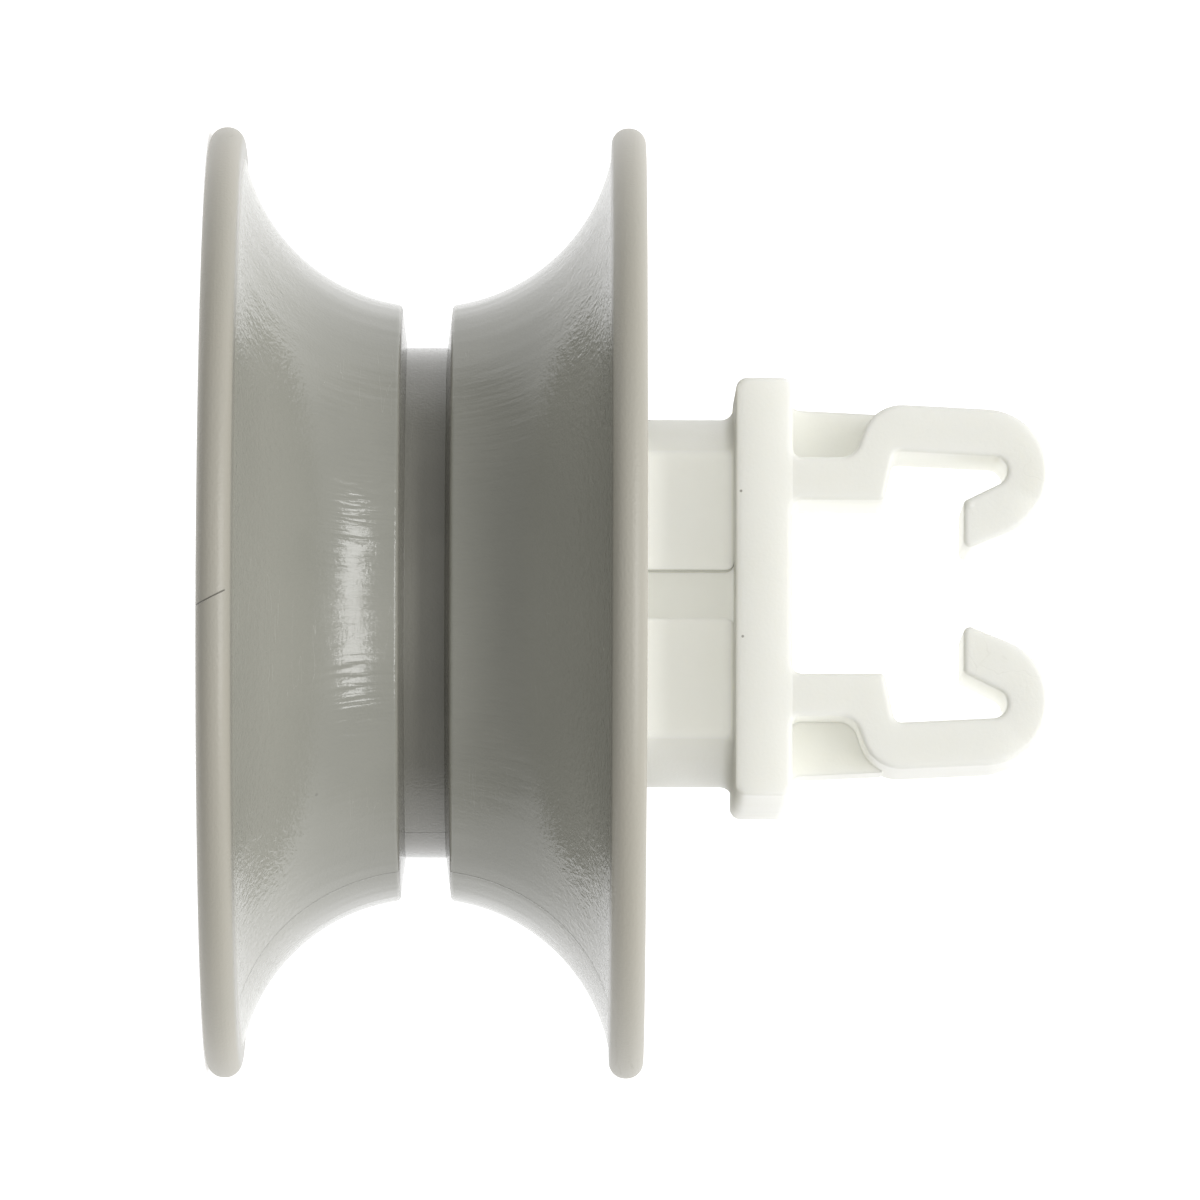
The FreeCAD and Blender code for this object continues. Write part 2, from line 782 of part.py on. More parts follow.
def main():
    """Build the document, check every object and write the parts."""
    os.makedirs("parts", exist_ok=True)
    document = FreeCAD.newDocument("RackRoller")
    sizes = SheetSizes(document)
    document.recompute()
    bodies = [make_roller(document, sizes), make_clip(document, sizes)]
    document.recompute()
    for item in document.Objects:
        if "Invalid" in item.State or "Error" in item.State:
            raise RuntimeError(f"{item.Name} is {item.State}")
    for body in bodies:
        shape = body.Shape
        if shape.isNull() or not shape.isValid():
            raise RuntimeError(body.Label + " has no valid shape")
        print(body.Label, len(shape.Solids), "solid", round(shape.Volume, 2), shape.BoundBox)
        shape.exportStep(os.path.join("parts", body.Label + ".step"))


main()
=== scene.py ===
import math

import bmesh
import bpy
from mathutils import Matrix, Vector


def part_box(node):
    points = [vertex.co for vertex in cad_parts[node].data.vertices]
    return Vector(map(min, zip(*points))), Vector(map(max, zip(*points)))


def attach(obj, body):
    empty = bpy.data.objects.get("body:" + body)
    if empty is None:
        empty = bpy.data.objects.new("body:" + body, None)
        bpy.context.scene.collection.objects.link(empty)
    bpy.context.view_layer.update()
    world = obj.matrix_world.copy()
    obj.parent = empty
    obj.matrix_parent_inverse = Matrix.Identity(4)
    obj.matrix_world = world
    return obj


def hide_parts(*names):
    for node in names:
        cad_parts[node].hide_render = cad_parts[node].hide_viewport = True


bl_info = {
    "name": "Rack roller look",
    "version": (1, 0, 0),
    "blender": (4, 5, 0),
    "location": "View3D > Sidebar > Rack roller",
    "description": "Finishes and studio for a grooved rack roller on its moulded wire clip",
    "category": "Object",
}

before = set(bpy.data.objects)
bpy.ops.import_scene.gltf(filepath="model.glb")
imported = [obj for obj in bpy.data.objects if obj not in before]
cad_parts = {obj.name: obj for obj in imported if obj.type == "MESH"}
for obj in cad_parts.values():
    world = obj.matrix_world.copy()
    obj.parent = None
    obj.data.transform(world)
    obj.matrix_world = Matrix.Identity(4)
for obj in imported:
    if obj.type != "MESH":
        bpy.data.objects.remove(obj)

MM = 0.001
MERGE = 1e-6
ROLLER_LOW, ROLLER_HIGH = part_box("roller")
CLIP_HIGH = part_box("axle_clip")[1]

# Small dark specks moulded into the plastic: places in the part's frame and radii, in millimetres.
ROLLER_SPECKS = ((-11.5, -12.4, 1.74), (14.6, -8.5, 2.06))
CLIP_SPECKS = ((-3.75, -8.8, 21.12), (1.98, -8.8, 21.2))
ROLLER_SPECK, CLIP_SPECK = 0.1, 0.07

# Steps of the arcs in the roller's section.
FILLET_STEPS, ROUND_STEPS, WALL_STEPS, TREAD_STEPS = 6, 12, 20, 40
# Faces that meet at less than this are shaded as one.
ROLLER_SMOOTH, CLIP_SMOOTH = math.radians(35), math.radians(50)
# Rays of the bevel and occlusion nodes.
RAYS = 6
# Detail of a noise, from soft to finest.
SOFT, PLAIN, FINE, FINEST = 1.5, 2.0, 3.0, 4.0
# How far the three colours go in the plastic, as shares of its depth.
DEPTH_SHARES = (1.0, 0.97, 0.9)

# Roller's finish. Lengths are in millimetres, pairs are the start and the end of a change.
SKIN_START = (8.0, 10.0)
TREAD_BLEND, GROOVE_BLEND = 0.12, 0.05
# Shares of the way from mid width to the crease.
FLANK_START, RIPPLE_END = (0.5, 0.85), (0.4, 0.7)
# Distances to either side of the tread's front line.
RIPPLE_SIDES = (5.0, 10.0)
# Broad waves lie this many ripples apart.
WAVE_PITCH = 7
# Stretch of the brushed and scuffed patterns across and along the turning direction.
BRUSH_ACROSS, BRUSH_ALONG, BRUSH_PITCH = 9.0, 0.4, 0.5
SCUFF_ACROSS, SCUFF_ALONG, SCUFF_PITCH, SCUFF_WIDTH = 1.6, 0.12, 1.1, 0.006
SCUFF_SPOTS, MOTTLE_SPOTS = (0.52, 0.66), (0.3, 0.75)
# The crease's dark line of painted shade, inside the rim's radius.
SEAM_OUT, SEAM_IN = 1.4, 2.2
# A scratch over the outer rim: place at the flange face, slope, width, length with soft ends, and front.
SCRATCH_START, SCRATCH_SLOPE, SCRATCH_WIDTH = 1.6, 0.5, 0.045
SCRATCH_SPAN, SCRATCH_FRONT = (0.02, 1.14, 0.03), (17.0, 18.0)

# Clip's finish. Lengths are in millimetres, and heights count from the collar's face to the roller.
PARTING_OUT, PARTING_IN, PARTING_BLEND = 1.2, 1.6, 0.1
RUBBED_HEIGHT, RUBBED_SIDE = (5.4, 6.2), (4.9, 5.3)
AXLE_END = (15.0, 15.2)
NECK_LOW, NECK_HIGH, NECK_BLEND = -3.6, 0.1, 0.15
FRONT_FACING = (0.1, 1.0)
FLOW_STRETCH, HAIR_STRETCH = (0.5, 0.8, 0.16), (0.35, 1.3, 0.35)
FLOW_PITCH, HAIR_PITCH, HAIR_WIDTH = 1.6, 1.2, 0.004
CLOUD_SPOTS, FLOW_SPOTS = (0.35, 0.7), (0.5, 0.75)

# Heights and depths of the view direction over which the sky changes.
SKY_RISE, SKY_TURN = (-0.75, 0.55), (-0.1, 0.3)


class Signal:
    """A value in a node tree. Arithmetic on it adds Math nodes."""

    def __init__(self, tree, socket):
        self.tree = tree
        self.socket = socket

    def math(self, operation, *values):
        """The result of a Math node on the values."""
        return self.tree.output("ShaderNodeMath", {"operation": operation}, dict(enumerate(values)))

    def __add__(self, other):
        return self.math("ADD", self, other)

    def __radd__(self, other):
        return self.math("ADD", other, self)

    def __sub__(self, other):
        return self.math("SUBTRACT", self, other)

    def __rsub__(self, other):
        return self.math("SUBTRACT", other, self)

    def __mul__(self, other):
        return self.math("MULTIPLY", self, other)

    def __rmul__(self, other):
        return self.math("MULTIPLY", other, self)

    def __truediv__(self, other):
        return self.math("DIVIDE", self, other)

    def __rtruediv__(self, other):
        return self.math("DIVIDE", other, self)

    def __abs__(self):
        return self.math("ABSOLUTE", self)

    def root(self):
        """The square root."""
        return self.math("SQRT", self)

    def highest(self, other):
        """The larger of two values."""
        return self.math("MAXIMUM", self, other)

    def over(self, low, high):
        """0 below low, 1 above high and a smooth rise between."""
        return self.tree.output(
            "ShaderNodeMapRange", {"interpolation_type": "SMOOTHSTEP"},
            {"Value": self, "From Min": low, "From Max": high})

    def between(self, low, high, soft):
        """1 from low to high, fading out over a width at both ends."""
        return self.over(low - soft, low + soft) * (1 - self.over(high - soft, high + soft))

    def near_zero(self, width):
        """1 where the value is nearly zero, 0 beyond a width on either side."""
        return 1 - abs(self).over(0, width)

    def relief(self, height):
        """A noise as a height about zero, in millimetres."""
        return (self - 0.5) * (height / MM)


class Nodes:
    """A node tree that is built up from one method for every kind of node."""

    def __init__(self, tree):
        self.tree = tree
        tree.nodes.clear()

    def node(self, kind, settings=None, sockets=None):
        """A node of a kind, with its settings, and the values or links of its sockets."""
        made = self.tree.nodes.new(kind)
        for name, value in (settings or {}).items():
            setattr(made, name, value)
        for name, value in (sockets or {}).items():
            if isinstance(value, Signal):
                self.tree.links.new(value.socket, made.inputs[name])
            else:
                made.inputs[name].default_value = value
        return made

    def output(self, kind, settings=None, sockets=None, which=0):
        """One output of a new node."""
        return Signal(self, self.node(kind, settings, sockets).outputs[which])

    def toward_front(self):
        """1 where the piece faces its own front, -Y, and 0 at the sides and behind."""
        facing = self.output("ShaderNodeTexCoord", which=1)
        return (0 - self.parts(facing)[1]).highest(0.0)

    def position(self):
        """The place on the piece in millimetres, as one vector and as three values."""
        here = self.output("ShaderNodeTexCoord", which=3)
        scaled = self.output("ShaderNodeVectorMath", {"operation": "SCALE"},
                             {0: here, "Scale": 1 / MM})
        return scaled, self.parts(scaled)

    def parts(self, vector):
        """The three values of a vector."""
        split = self.node("ShaderNodeSeparateXYZ", None, {0: vector})
        return [Signal(self, socket) for socket in split.outputs]

    def vector(self, x, y, z):
        """A vector of three values."""
        return self.output("ShaderNodeCombineXYZ", None, {0: x, 1: y, 2: z})

    def stretched(self, values, scales):
        """A vector of three values, each times its own scale."""
        return self.vector(*(value * scale for value, scale in zip(values, scales)))

    def noise(self, vector, pitch, detail):
        """Smooth noise about 0.5, whose bumps lie about a pitch apart."""
        return self.output("ShaderNodeTexNoise", None,
                           {"Vector": vector, "Scale": 1 / pitch, "Detail": detail})

    def mixed(self, factor, first, second):
        """A colour between two colours."""
        return self.output("ShaderNodeMix", {"data_type": "RGBA"},
                           {0: factor, 6: first, 7: second}, which=2)

    def specks(self, place, spots, radius):
        """1 inside small round specks at fixed spots."""
        found = None
        for spot in spots:
            reach = self.output("ShaderNodeVectorMath", {"operation": "DISTANCE"},
                                {0: place, 1: spot}, which=1)
            one = 1 - reach.over(radius * 0.5, radius)
            found = one if found is None else found.highest(one)
        return found

    def grit(self, place, pitch, share):
        """Scattered fine dots, present in a share of the cells."""
        cells = self.node("ShaderNodeTexVoronoi", None, {"Vector": place, "Scale": 1 / pitch})
        chosen = self.parts(Signal(self, cells.outputs["Color"]))[0].over(1 - share, 1.0)
        return (1 - Signal(self, cells.outputs["Distance"]).over(0.03, 0.07)) * chosen

    def hairlines(self, place, pitch, width):
        """Long fine hairlines where a stretched noise passes its middle value."""
        wave = self.noise(place, pitch, FINE)
        return (wave - 0.5).near_zero(width)

    def openness(self, reach):
        """1 on open surfaces, 0 deep in a hollow."""
        seen = self.node("ShaderNodeAmbientOcclusion", {"samples": RAYS}, {"Distance": reach})
        return Signal(self, seen.outputs["AO"])

    def plastic(self, colour, roughness, height, look, painted_glow):
        """A plastic with bump, softened edges, a little depth and a painted glow of its own colour, as
        the tree's surface.
        """
        edge = self.output("ShaderNodeBevel", {"samples": RAYS}, {"Radius": look.edge_radius})
        bump = self.output("ShaderNodeBump", None,
                           {"Distance": MM, "Height": height, "Normal": edge})
        shader = self.output("ShaderNodeBsdfPrincipled", {"subsurface_method": "RANDOM_WALK"}, {
            "Base Color": colour,
            # Painted glow: the base colour given off as emission where painted_glow is above zero.
            "Emission Color": self.mixed(painted_glow, (0.0, 0.0, 0.0, 1.0), colour),
            "Emission Strength": 1.0,
            "Roughness": roughness,
            "Normal": bump,
            "IOR": look.index,
            "Subsurface Weight": look.depth_weight,
            "Subsurface Radius": DEPTH_SHARES,
            "Subsurface Scale": look.depth,
        })
        self.node("ShaderNodeOutputMaterial", None, {"Surface": shader})


def rgba(colour):
    """A property's colour with full alpha."""
    return (*colour, 1.0)


def new_material(name):
    """An empty material and its node tree."""
    material = bpy.data.materials.new(name)
    material.use_nodes = True
    return material, Nodes(material.node_tree)


def smooth_copy(node, name, sharp_angle):
    """A copy of a CAD node with joined triangles, smooth up to an angle."""
    work = bmesh.new()
    work.from_mesh(node.data)
    bmesh.ops.remove_doubles(work, verts=work.verts, dist=MERGE)
    piece = finished(work, name, sharp_angle)
    weighted = piece.modifiers.new("Even shading", "WEIGHTED_NORMAL")
    weighted.keep_sharp = True
    weighted.weight = 100
    return piece


def arc(centre, radius, start, end, steps):
    """Points along an arc of the section, each a radius from the axis and a height."""
    turns = [start + (end - start) * i / steps for i in range(steps + 1)]
    return [(centre[0] + radius * math.cos(t), centre[1] + radius * math.sin(t)) for t in turns]


def half_section(shape):
    """The roller's section above mid width, from the bore over the rim to the groove."""
    half = shape.width / 2
    quarter = math.pi / 2
    bore, hub, rim = shape.bore, shape.hub, shape.rim
    hub_end, web = half - shape.hub_inset, shape.web / 2
    crease = half - shape.rim_thickness
    rise = rim - shape.flange_step - shape.tread_bottom
    hollow = (rise * rise + crease * crease) / (2 * rise)
    centre = (shape.tread_bottom + hollow, 0.0)
    wall = hollow + shape.wall
    mouth, edge, fillet = shape.mouth / 2, shape.edge_round, shape.pocket_round
    rounding = shape.rim_round

    def turn_at(reach, height):
        """The angle at which an arc about the hollow's centre passes a height."""
        return math.pi - math.asin(height / reach)

    lip = centre[0] - math.sqrt(hollow ** 2 - (mouth + edge) ** 2)
    return [
        (bore, hub_end - shape.chamfer),
        (bore + shape.chamfer, hub_end),
        (hub, hub_end),
        *arc((hub + fillet, web + fillet), fillet, math.pi, 3 * quarter, FILLET_STEPS),
        *arc(centre, wall, turn_at(wall, web), turn_at(wall, half), WALL_STEPS),
        *arc((rim - rounding, half - rounding), rounding, quarter, 0.0, ROUND_STEPS),
        *arc((rim - rounding, crease + rounding), rounding, 0.0, -quarter, ROUND_STEPS),
        *arc(centre, hollow, turn_at(hollow, crease), turn_at(hollow, mouth + edge), TREAD_STEPS),
        *arc((lip - edge, mouth + edge), edge, 0.0, -quarter, FILLET_STEPS)[1:],
        (shape.tread_bottom - shape.groove_depth, shape.floor / 2),
    ]


def join_ribs(work, shape):
    """Ribs on both sides of the web, each running a little into the hub, the web and the wall."""
    top = shape.width / 2 - shape.hub_inset - shape.rib_drop
    foot = shape.web / 2 - shape.wall / 4
    inner = shape.hub - shape.wall / 3
    outer = shape.tread_bottom - shape.wall / 2
    for side in (-1, 1):
        for number in range(shape.rib_count):
            made = bmesh.ops.create_cube(work, size=1.0)["verts"]
            for vert in made:
                slant = shape.rib_slant if vert.co.x > 0 and vert.co.z > 0 else 0.0
                vert.co.x = (outer if vert.co.x > 0 else inner) + slant
                vert.co.y *= shape.rib_thickness
                vert.co.z = shape.width / 2 + side * (top if vert.co.z > 0 else foot)
            turn = Matrix.Rotation(2 * math.pi * number / shape.rib_count, 3, "Z")
            bmesh.ops.rotate(work, verts=made, cent=(0, 0, 0), matrix=turn)


def spun_roller(shape, sharp_angle):
    """The roller turned from its section, with its ribs."""
    upper = half_section(shape)
    points = upper + [(radius, -height) for radius, height in reversed(upper)]
    work = bmesh.new()
    ring = [work.verts.new((radius, 0.0, shape.width / 2 + height)) for radius, height in points]
    edges = [work.edges.new((ring[i - 1], ring[i])) for i in range(len(ring))]
    bmesh.ops.spin(work, geom=ring + edges, cent=(0, 0, 0), axis=(0, 0, 1), steps=shape.steps,
                   angle=2 * math.pi, use_merge=True, dvec=(0, 0, 0), use_duplicate=False)
    join_ribs(work, shape)
    bmesh.ops.remove_doubles(work, verts=work.verts, dist=MERGE)
    bmesh.ops.recalc_face_normals(work, faces=work.faces)
    return finished(work, "grooved_roller", sharp_angle)


def finished(work, name, sharp_angle):
    """A piece from a bmesh, smooth up to an angle."""
    for face in work.faces:
        face.smooth = True
    for edge in work.edges:
        edge.smooth = edge.calc_face_angle(0.0) < sharp_angle
    mesh = bpy.data.meshes.new(name)
    work.to_mesh(mesh)
    work.free()
    return linked(name, mesh)


def dress(piece, node_name, body, material):
    """Put a piece in the place of its CAD node, with its finish."""
    piece.data.materials.clear()
    piece.data.materials.append(material)
    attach(piece, body)
    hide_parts(node_name)


def roller_material(look, shape):
    """Grey polyacetal: plain rims, rippled hollow treads, a parting line and fine dirt, with painted
    shade in the groove and creases and a painted sheen on the flanks.
    """
    material, nodes = new_material("grey_roller_plastic")
    place, (x, y, z) = nodes.position()
    radius = (x * x + y * y).root()
    half, mouth = shape.width / MM / 2, shape.mouth / MM / 2
    crease = half - shape.rim_thickness / MM
    rim = shape.rim / MM
    off_mid = abs(z - half)
    from_mid = off_mid / crease

    outside = radius.over(*SKIN_START)
    tread = off_mid.between(mouth, crease, TREAD_BLEND) * outside
    in_groove = (1 - off_mid.over(mouth - GROOVE_BLEND, mouth + GROOVE_BLEND)) * outside
    glossy = tread.highest(in_groove)
    flank = from_mid.over(*FLANK_START) * tread
    rippled = tread * (1 - from_mid.over(*RIPPLE_END)) * (1 - abs(x).over(*RIPPLE_SIDES))

    turn = look.tread_radius / MM
    round_x, round_y = x / radius * turn, y / radius * turn
    rippling = nodes.vector(round_x, round_y, z * look.ripple_stretch)
    ripple = nodes.noise(rippling, look.ripple_pitch / MM, SOFT)
    waves = nodes.noise(rippling, look.ripple_pitch / MM * WAVE_PITCH, PLAIN)
    grain = nodes.noise(place, look.grain_pitch / MM, FINE)
    crackle = nodes.noise(place, look.crackle_pitch / MM, PLAIN)
    spots = nodes.noise(place, look.spot_pitch / MM, FINEST)
    brushing = nodes.vector(radius, z * BRUSH_ACROSS, (x / radius + y / radius) * BRUSH_ALONG)
    brushed = nodes.noise(brushing, BRUSH_PITCH, FINEST)

    line = look.parting_width / MM
    from_parting = x * math.sin(look.parting_angle) + y * math.cos(look.parting_angle)
    parting = from_parting.near_zero(line) * glossy
    # Painted shade: a dark line along the crease beside each rim; the same mask sinks a shallow crease
    # into the bump.
    crease_shade_line = (off_mid - crease).near_zero(line) * radius.over(rim - SEAM_IN, rim - SEAM_OUT)
    scratch = (x - SCRATCH_START + z * SCRATCH_SLOPE).near_zero(SCRATCH_WIDTH)
    scratch = scratch * z.between(*SCRATCH_SPAN) * (0 - y).over(*SCRATCH_FRONT)
    scuffing = nodes.vector(round_x * SCUFF_ALONG, round_y * SCUFF_ALONG, z * SCUFF_ACROSS)
    scuffs = nodes.hairlines(scuffing, SCUFF_PITCH, SCUFF_WIDTH) * spots.over(*SCUFF_SPOTS)
    specks = nodes.specks(place, ROLLER_SPECKS, ROLLER_SPECK)
    grit = nodes.grit(place, look.grit_pitch / MM, look.grit_share)

    body = nodes.mixed(tread, rgba(look.rim_colour), rgba(look.tread_colour))
    # Painted shade: the groove's darker colour stands in for the shade in the narrow recess.
    body = nodes.mixed(in_groove, body, rgba(look.groove_shade_colour))
    tinted = nodes.mixed(spots.over(*MOTTLE_SPOTS) * look.mottle, body, rgba(look.wear_and_sheen_colour))
    # Painted sheen: the flanks beside the rims are lightened in place of their grazing reflection.
    tinted = nodes.mixed(flank * look.flank_sheen, tinted, rgba(look.wear_and_sheen_colour))
    lines = parting * look.parting_shade + crease_shade_line * look.crease_painted_shade
    lined = nodes.mixed(lines, tinted, rgba(look.line_colour))
    rubbed = nodes.mixed(scuffs * look.scuff_shade, lined, rgba(look.wear_and_sheen_colour))
    dark = (scratch * look.scratch_shade).highest(specks * look.speck_shade)
    colour = nodes.mixed(dark.highest(grit * look.grit_shade), rubbed, rgba(look.dirt_colour))

    roughness = look.roughness + (spots - 0.5) * look.spot_gloss + scuffs * look.scuff_matt
    roughness = roughness - glossy * look.tread_gloss
    height = grain.relief(look.grain_height) * (2 - tread) + crackle.relief(look.crackle_height) * flank
    height = height + ripple.relief(look.ripple_height) * rippled
    height = height + waves.relief(look.ripple_height) * tread
    height = height + brushed.relief(look.brush_height) * (1 - tread)
    height = height + (parting - crease_shade_line) * (look.line_height / MM)
    height = height - scratch * (look.scratch_depth / MM) - scuffs * (look.scuff_depth / MM)
    nodes.plastic(colour, roughness, height, look, 0.0)
    return material


def clip_material(look):
    """Milky white polyamide: matt front faces, fine grain, parting line and wire rub marks, with a
    painted glow on the neck's front and in the hollows.
    """
    material, nodes = new_material("white_clip_plastic")
    place, (x, y, z) = nodes.position()
    collar = look.collar_base / MM
    end = CLIP_HIGH.x / MM
    off_axis = abs(x)

    grain = nodes.noise(place, look.grain_pitch / MM, FINE)
    peel = nodes.noise(place, look.peel_pitch / MM, PLAIN)
    cloud = nodes.noise(place, look.cloud_pitch / MM, FINE)
    flow = nodes.noise(nodes.stretched((x, y, z), FLOW_STRETCH), FLOW_PITCH, FINE)

    parting = (y + look.parting_plane / MM).near_zero(look.parting_width / MM)
    parting = parting * off_axis.over(end - PARTING_IN, end - PARTING_OUT)
    parting = parting * z.over(collar - PARTING_BLEND, collar)
    wire_side = z.over(*(collar + height for height in RUBBED_HEIGHT))
    rubbed = wire_side * (1 - off_axis.over(*RUBBED_SIDE))
    hairs = nodes.hairlines(nodes.stretched((x, y, z), HAIR_STRETCH), HAIR_PITCH, HAIR_WIDTH) * rubbed
    specks = nodes.specks(place, CLIP_SPECKS, CLIP_SPECK)
    grit = nodes.grit(place, look.grit_pitch / MM, look.grit_share)
    on_axle = 1 - z.over(*AXLE_END)

    base = nodes.mixed(cloud.over(*CLOUD_SPOTS) * look.mottle, rgba(look.colour), rgba(look.warm_colour))
    streaked = nodes.mixed(flow.over(*FLOW_SPOTS) * look.flow_shade, base, rgba(look.warm_colour))
    lines = parting * look.parting_shade + hairs * look.hair_shade
    lined = nodes.mixed(lines, streaked, rgba(look.line_colour))
    dark = (specks * look.speck_shade).highest(grit * look.grit_shade)
    colour = nodes.mixed(dark, lined, rgba(look.dirt_colour))

    roughness = look.roughness + (cloud - 0.5) * look.cloud_gloss - rubbed * look.rub_gloss
    roughness = roughness + hairs * look.hair_matt - on_axle * look.axle_gloss
    reach = look.collar_thickness / MM / 2
    off_middle = z - (collar + reach)
    crown = (reach * reach - off_middle * off_middle).highest(0.0)
    height = grain.relief(look.grain_height) + peel.relief(look.peel_height) + crown * look.crown
    height = height + parting * (look.line_height / MM) - hairs * (look.hair_depth / MM)

    # Painted glow: emission on the front of the neck and in the hollows found by the occlusion node, in
    # place of light carried through the plastic.
    neck = z.between(collar + NECK_LOW, collar + NECK_HIGH, NECK_BLEND)
    neck_front_painted_glow = neck * nodes.toward_front().over(*FRONT_FACING) * look.neck_painted_glow
    hidden = 1 - nodes.openness(look.painted_glow_reach)
    painted_glow = (neck_front_painted_glow + (1 - neck) * hidden * look.hollow_painted_glow) * look.painted_glow
    nodes.plastic(colour, roughness, height, look, painted_glow)
    return material


def length(name, description, millimetres):
    """A length property whose default is given in millimetres."""
    return bpy.props.FloatProperty(name=name, description=description, unit="LENGTH",
                                   default=millimetres * MM, min=0.0, precision=6)


def share(name, description, default):
    """A property from 0 to 1."""
    return bpy.props.FloatProperty(name=name, description=description, default=default,
                                   min=0.0, max=1.0, subtype="FACTOR")


def tint(name, description, default):
    """A colour property."""
    return bpy.props.FloatVectorProperty(name=name, description=description, default=default,
                                         subtype="COLOR", min=0.0, max=1.0)


def amount(name, description, default):
    """A property without a unit, from 0."""
    return bpy.props.FloatProperty(name=name, description=description, default=default, min=0.0)


def turning(name, description, degrees):
    """An angle property whose default is given in degrees."""
    return bpy.props.FloatProperty(name=name, description=description, unit="ROTATION",
                                   default=math.radians(degrees))


class PlasticLook:
    """Properties that both plastics have."""

    roughness: share("Roughness", "Mean roughness of the moulded skin", 0.42)
    index: amount("Refraction", "Index of refraction", 1.54)
    depth: length("Depth", "How deep light enters the plastic", 1.0)
    parting_width: length("Parting line", "Half width of the mould's parting line", 0.06)
    grain_pitch: length("Grain pitch", "Distance between the bumps of the fine grain", 0.13)
    grain_height: length("Grain height", "Height of the fine grain", 0.008)
    mottle: share("Mottle", "Strength of the soft colour variation", 0.25)


class RollerShape(bpy.types.PropertyGroup):
    """Sizes of the turned roller."""

    width: length("Width", "Roller over both flange faces", (ROLLER_HIGH.z - ROLLER_LOW.z) / MM)
    rim: length("Rim radius", "Roller's radius over the rims", -ROLLER_LOW.x / MM)
    rim_round: length("Rim rounding", "Rounding of each rim edge", 0.66)
    rim_thickness: length("Rim thickness", "Flange face to the crease beside the tread", 1.38)
    flange_step: length("Flange step", "Crease inside the rim's radius", 1.16)
    tread_bottom: length("Tread bottom", "Hollow curve at mid width, from the axis", 11.84)
    mouth: length("Groove mouth", "Width of the groove at the tread", 2.0)
    floor: length("Groove floor", "Width of the groove at its floor", 1.6)
    groove_depth: length("Groove depth", "Depth of the middle groove", 1.64)
    edge_round: length("Groove edges", "Rounding of the tread's edges at the groove", 0.2)
    wall: length("Tread wall", "Wall between the tread and the pockets", 1.6)
    web: length("Web", "Solid web between the pockets", 4.4)
    pocket_round: length("Pocket rounding", "Rounding in the bottom of the pockets", 0.5)
    bore: length("Bore", "Radius of the hub's bore", 4.58)
    hub: length("Hub", "Radius of the hub's outside", 6.6)
    hub_inset: length("Hub inset", "Hub's ends below the flange faces", 2.4)
    chamfer: length("Chamfer", "Lead-in of the bore", 0.35)
    rib_thickness: length("Rib thickness", "Thickness of a rib", 1.3)
    rib_drop: length("Rib drop", "Rib's edge below the hub's end", 0.6)
    rib_slant: length("Rib slant", "How far a rib's outer end leans out with the wall", 1.9)
    rib_count: bpy.props.IntProperty(
        name="Ribs", description="Ribs on each side of the web", default=6, min=2)
    steps: bpy.props.IntProperty(
        name="Steps", description="Facets round the roller", default=256, min=24)


class RollerLook(PlasticLook, bpy.types.PropertyGroup):
    """Sizes and colours of the grey roller's finish."""

    rim_colour: tint("Rim colour", "Rims and flange faces", (0.385, 0.365, 0.308))
    tread_colour: tint("Tread colour", "Hollow treads", (0.272, 0.272, 0.236))
    # The groove's colour is darker than the tread's as painted shade of the narrow recess.
    groove_shade_colour: tint("Groove colour", "Middle groove", (0.2, 0.195, 0.164))
    # Lighter plastic for mottle and scuffs, also used as the flanks' painted sheen.
    wear_and_sheen_colour: tint("Worn colour", "Lighter rubbed plastic", (0.36, 0.355, 0.31))
    # Also colours the creases' painted shade.
    line_colour: tint("Line colour", "Parting line and creases", (0.20, 0.195, 0.17))
    dirt_colour: tint("Dirt colour", "Specks and scratches", (0.06, 0.055, 0.045))
    edge_radius: length("Edge radius", "Softening of the roller's sharp edges", 0.05)
    depth_weight: share("Depth weight", "Share of light that enters the plastic", 0.0)
    tread_gloss: share("Tread gloss", "How much smoother the treads are than the rims", 0.26)
    spot_gloss: share("Spot gloss", "Variation of the roughness from spot to spot", 0.1)
    scuff_matt: share("Scuff roughness", "How much rougher the scuffs are", 0.12)
    # Painted sheen: the flanks are made lighter in colour in place of their grazing reflection.
    flank_sheen: share("Flank wear", "How much lighter the flanks beside the rims are", 0.4)
    parting_shade: share("Parting shade", "Strength of the parting line's colour", 0.5)
    # Painted shade: the dark line in the creases.
    crease_painted_shade: share("Crease shade", "Strength of the dark line in the creases", 0.35)
    scuff_shade: share("Scuff shade", "Strength of the scuffs' colour", 0.2)
    scratch_shade: share("Scratch shade", "Darkness of the scratch", 0.8)
    speck_shade: share("Speck shade", "Darkness of the moulded specks", 0.75)
    grit_shade: share("Grit shade", "Darkness of the fine dirt", 0.35)
    grit_share: share("Grit share", "Share of places that hold a dirt dot", 0.1)
    grit_pitch: length("Grit pitch", "Distance between places of dirt dots", 1.4)
    spot_pitch: length("Spot pitch", "Distance between the soft spots", 5.0)
    tread_radius: length("Tread radius", "Tread's radius at which the ripples are measured", 13.0)
    ripple_pitch: length("Ripple pitch", "Distance between the fine ripples round the tread", 0.28)
    ripple_height: length("Ripple height", "Height of the fine ripples", 0.06)
    ripple_stretch: share("Ripple stretch", "Narrows the ripples' pattern across the tread", 0.16)
    crackle_pitch: length("Crackle pitch", "Distance between the bumps of the flanks", 0.26)
    crackle_height: length("Crackle height", "Height of the flanks' bumps", 0.035)
    brush_height: length("Brush height", "Height of the fine turned marks on the rims", 0.004)
    line_height: length("Line height", "Height of the parting line, depth of the creases", 0.02)
    scratch_depth: length("Scratch depth", "Depth of the scratch", 0.03)
    scuff_depth: length("Scuff depth", "Depth of the scuffs", 0.002)
    parting_angle: turning("Parting angle", "Turn of the parting plane about the axis", 22.0)


